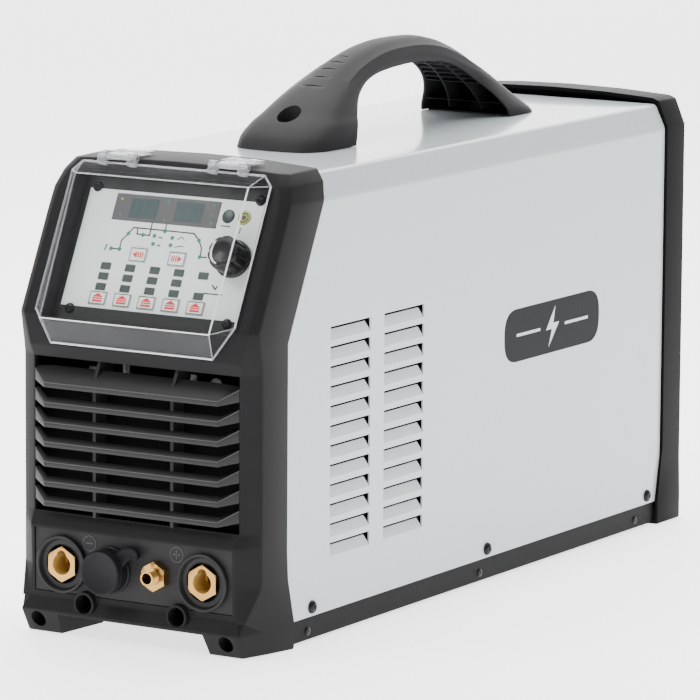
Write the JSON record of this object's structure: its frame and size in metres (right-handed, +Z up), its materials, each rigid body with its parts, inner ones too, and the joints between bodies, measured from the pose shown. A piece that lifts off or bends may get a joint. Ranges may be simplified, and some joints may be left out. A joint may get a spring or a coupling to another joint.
{
  "type": "TIG welding machine",
  "caption": "Portable inverter TIG welding power source in a sheet-metal case with moulded ends, carrying handle, lidded control panel, louvred outlet and brass welding sockets.",
  "frame": {"origin": "centre of the bounding box footprint on the ground", "axes": "+X to the machine's left seen from behind (right in the front view), +Y from the front panel towards the rear fan, +Z up"},
  "size_m": [0.208, 0.641, 0.401],
  "materials": {
    "aluminium": "extruded",
    "black_paint": "satin powder coat",
    "black_plastic": "satin moulded plastic",
    "brass": "machined",
    "charcoal_plastic": "fine-grained moulded plastic",
    "clear_plastic": "clear moulded plastic",
    "copper_coil": "enamelled copper winding",
    "grey_paint": "glossy powder coat",
    "key_white": "printed key cap",
    "panel_grey": "printed film",
    "pcb_green": "circuit board",
    "rubber_black": "matt rubber",
    "steel": "zinc plated",
    "steel_black": "black zinc",
    "window_dark": "tinted window"
  },
  "bodies": {
    "chassis": {"front_bezel": "charcoal_plastic", "front_louvre_grille": "charcoal_plastic", "rear_bezel": "charcoal_plastic", "handle": "charcoal_plastic", "connector_panel": "black_plastic", "socket_housing_negative": "black_plastic", "socket_housing_positive": "black_plastic", "control_socket": "black_plastic", "power_switch_body": "black_plastic", "mains_cable_gland": "black_plastic", "fan_frame": "black_plastic", "hf_ignition_unit": "black_plastic", "socket_insert_negative": "brass", "socket_insert_positive": "brass", "gas_outlet_fitting": "brass", "gas_inlet_fitting": "brass", "control_panel_plate": "black_paint", "base_tray": "black_paint", "rear_panel": "black_paint", "control_panel_overlay": "panel_grey", "display_window": "window_dark", "panel_screw_1": "steel_black", "panel_screw_2": "steel_black", "panel_screw_3": "steel_black", "panel_screw_4": "steel_black", "cover_screw_left_1": "steel_black", "cover_screw_left_2": "steel_black", "cover_screw_left_3": "steel_black", "cover_screw_right_1": "steel_black", "cover_screw_right_2": "steel_black", "cover_screw_right_3": "steel_black", "handle_screw_front": "steel_black", "handle_screw_rear": "steel_black", "encoder_body": "steel", "hinge_pin_left": "steel", "hinge_pin_right": "steel", "earth_stud": "steel", "fan_guard": "steel", "gas_solenoid_valve": "steel", "hinge_clip_left": "clear_plastic", "hinge_clip_right": "clear_plastic", "cover": "grey_paint", "control_board": "pcb_green", "power_board": "pcb_green", "heat_sink": "aluminium", "main_transformer": "copper_coil", "output_choke": "copper_coil"},
    "lid": {"clear_lid": "clear_plastic"},
    "knob": {"encoder_knob": "black_plastic"},
    "fan": {"fan_rotor": "black_plastic"},
    "rocker": {"power_switch_rocker": "black_plastic"},
    "cap": {"dust_cap": "rubber_black"},
    "body_key_select_1": {"key_select_1": "key_white"},
    "body_key_select_2": {"key_select_2": "key_white"},
    "body_key_select_3": {"key_select_3": "key_white"},
    "body_key_select_4": {"key_select_4": "key_white"},
    "body_key_select_5": {"key_select_5": "key_white"},
    "body_key_previous": {"key_previous": "key_white"},
    "body_key_next": {"key_next": "key_white"}
  },
  "joints": [
    {"name": "lid_hinge", "type": "hinge", "parent": "chassis", "child": "lid", "pos_m": [0, -0.25531, 0.33743], "axis": [-1, 0, 0], "range_deg": [0, 125]},
    {"name": "knob_turn", "type": "hinge", "parent": "chassis", "child": "knob", "pos_m": [0.059, -0.27451, 0.27749], "axis": [0, -0.8989, 0.4381], "continuous": true},
    {"name": "fan_spin", "type": "hinge", "parent": "chassis", "child": "fan", "pos_m": [0, 0.2825, 0.205], "axis": [0, 1, 0], "continuous": true},
    {"name": "power_rocker", "type": "hinge", "parent": "chassis", "child": "rocker", "pos_m": [0.051, 0.3015, 0.303], "axis": [-1, 0, 0], "range_deg": [0, 12]},
    {"name": "dust_cap_pull", "type": "slide", "parent": "chassis", "child": "cap", "axis": [0, -1, 0], "range_m": [0, 0.015]},
    {"name": "key_select_1_press", "type": "slide", "parent": "chassis", "child": "body_key_select_1", "axis": [0, 0.8989, -0.4381], "range_m": [0, 0.0005], "stiffness_N_per_m": 2000},
    {"name": "key_select_2_press", "type": "slide", "parent": "chassis", "child": "body_key_select_2", "axis": [0, 0.8989, -0.4381], "range_m": [0, 0.0005], "stiffness_N_per_m": 2000},
    {"name": "key_select_3_press", "type": "slide", "parent": "chassis", "child": "body_key_select_3", "axis": [0, 0.8989, -0.4381], "range_m": [0, 0.0005], "stiffness_N_per_m": 2000},
    {"name": "key_select_4_press", "type": "slide", "parent": "chassis", "child": "body_key_select_4", "axis": [0, 0.8989, -0.4381], "range_m": [0, 0.0005], "stiffness_N_per_m": 2000},
    {"name": "key_select_5_press", "type": "slide", "parent": "chassis", "child": "body_key_select_5", "axis": [0, 0.8989, -0.4381], "range_m": [0, 0.0005], "stiffness_N_per_m": 2000},
    {"name": "key_previous_press", "type": "slide", "parent": "chassis", "child": "body_key_previous", "axis": [0, 0.8989, -0.4381], "range_m": [0, 0.0005], "stiffness_N_per_m": 2000},
    {"name": "key_next_press", "type": "slide", "parent": "chassis", "child": "body_key_next", "axis": [0, 0.8989, -0.4381], "range_m": [0, 0.0005], "stiffness_N_per_m": 2000}
  ]
}
